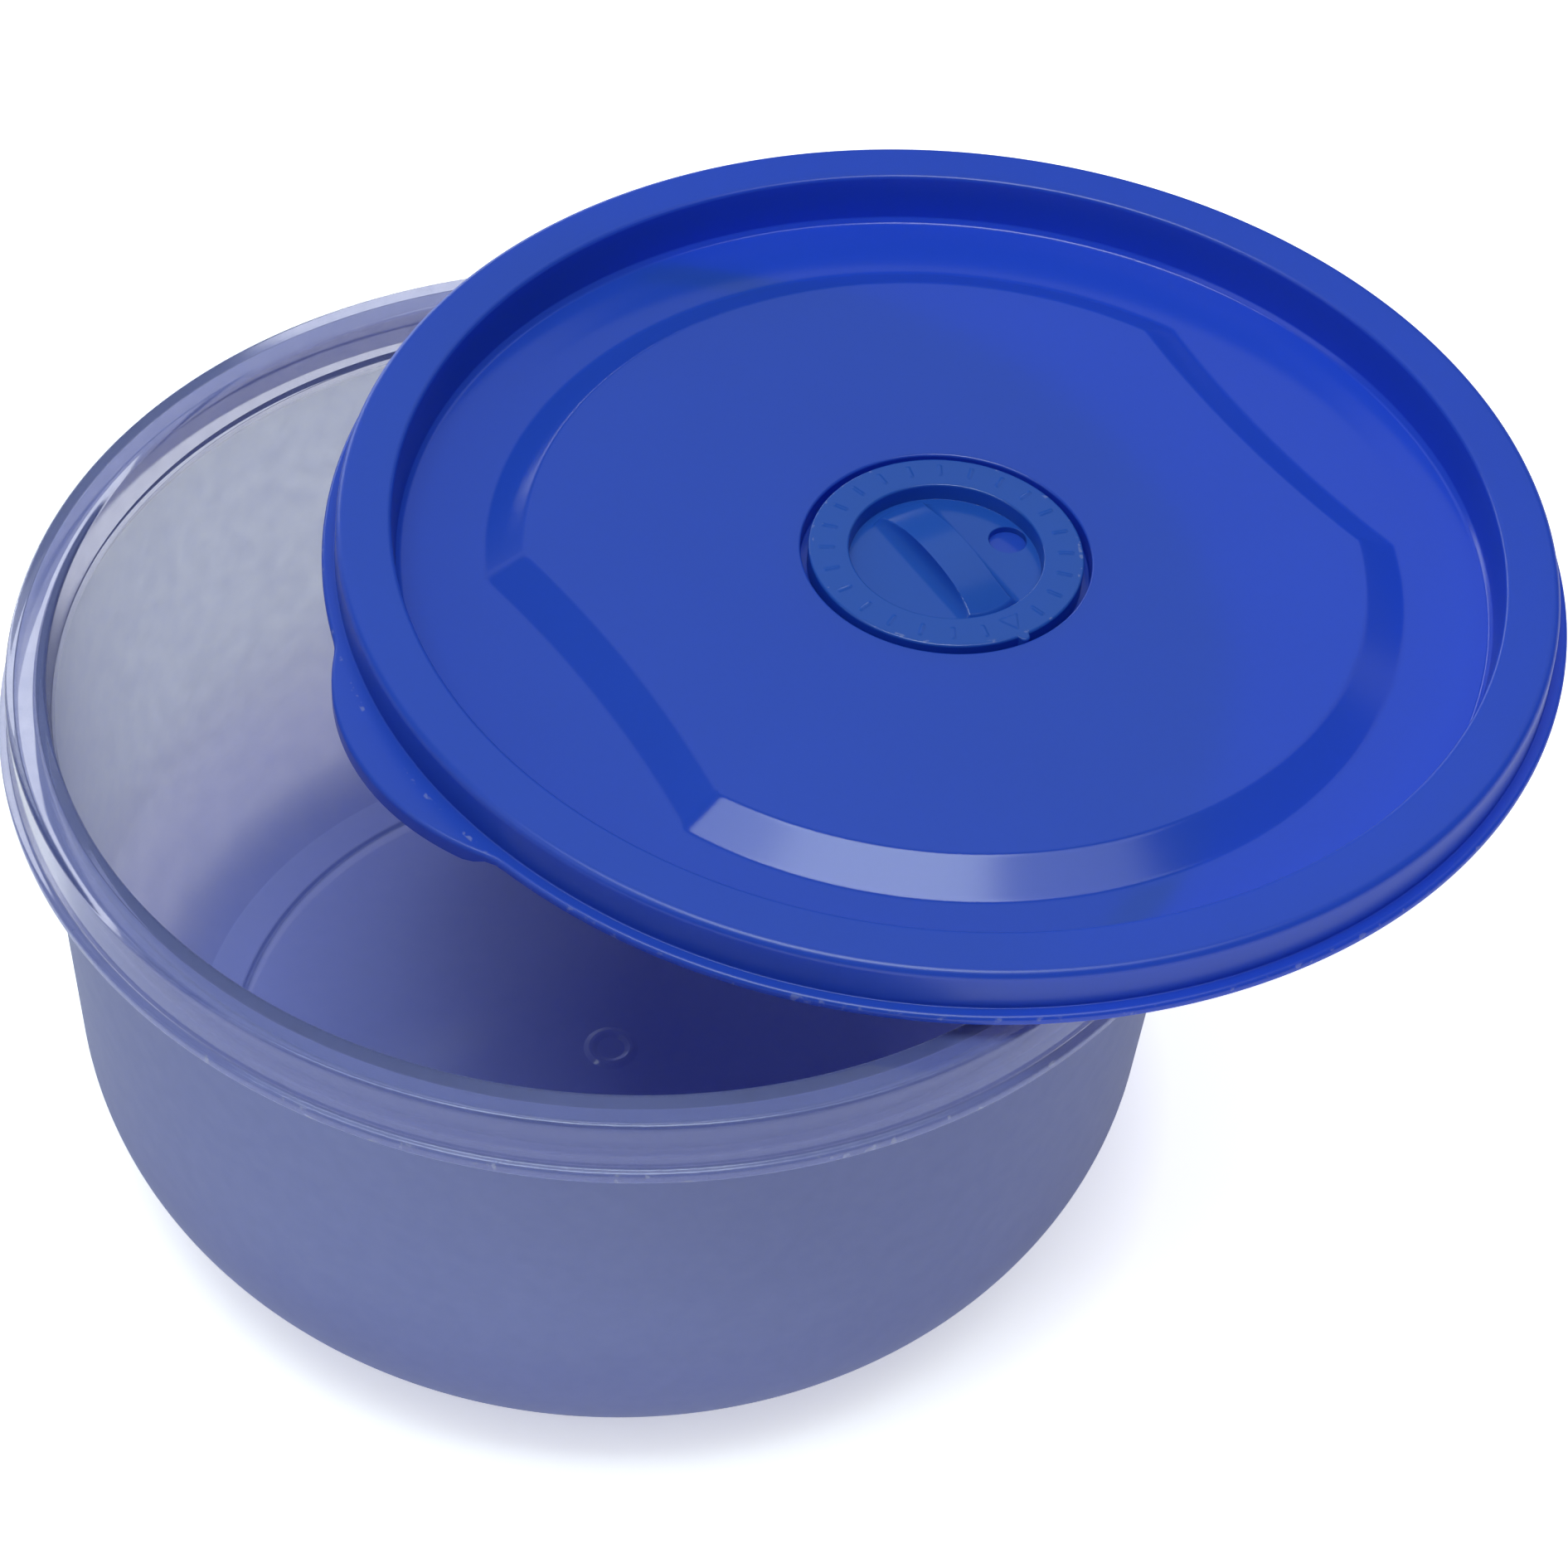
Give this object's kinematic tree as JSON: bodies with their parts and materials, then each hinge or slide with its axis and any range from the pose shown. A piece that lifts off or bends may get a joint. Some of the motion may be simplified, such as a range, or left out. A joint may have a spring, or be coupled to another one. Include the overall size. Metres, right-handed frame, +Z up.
{
  "type": "food bowl with vented lid",
  "caption": "Round translucent plastic food bowl with its press-on lid lying off centre on the rim; the lid has a pull tab and a turning steam vent dial.",
  "frame": {"origin": "centre of the bowl's foot, on the surface it stands on", "axes": "+Z up along the bowl's axis, +X to the right, -Y towards the viewer"},
  "size_m": [0.2705, 0.2445, 0.1203],
  "materials": {
    "bowl_plastic": "frosted, translucent, with a glossy rim",
    "lid_plastic": "fine satin",
    "dial_plastic": "fine satin"
  },
  "bodies": {
    "bowl": {"bowl": "bowl_plastic"},
    "lid": {"lid": "lid_plastic"},
    "vent_dial": {"vent_dial": "dial_plastic"}
  },
  "joints": [
    {"name": "lid_lift", "type": "slide", "parent": "bowl", "child": "lid", "axis": [0, 0, 1], "range_m": [0, 0.12]},
    {"name": "vent_turn", "type": "hinge", "parent": "lid", "child": "vent_dial", "pos_m": [0.0538, 0.0278, 0.109], "axis": [0, 0, 1], "range_deg": [0, 90]}
  ]
}
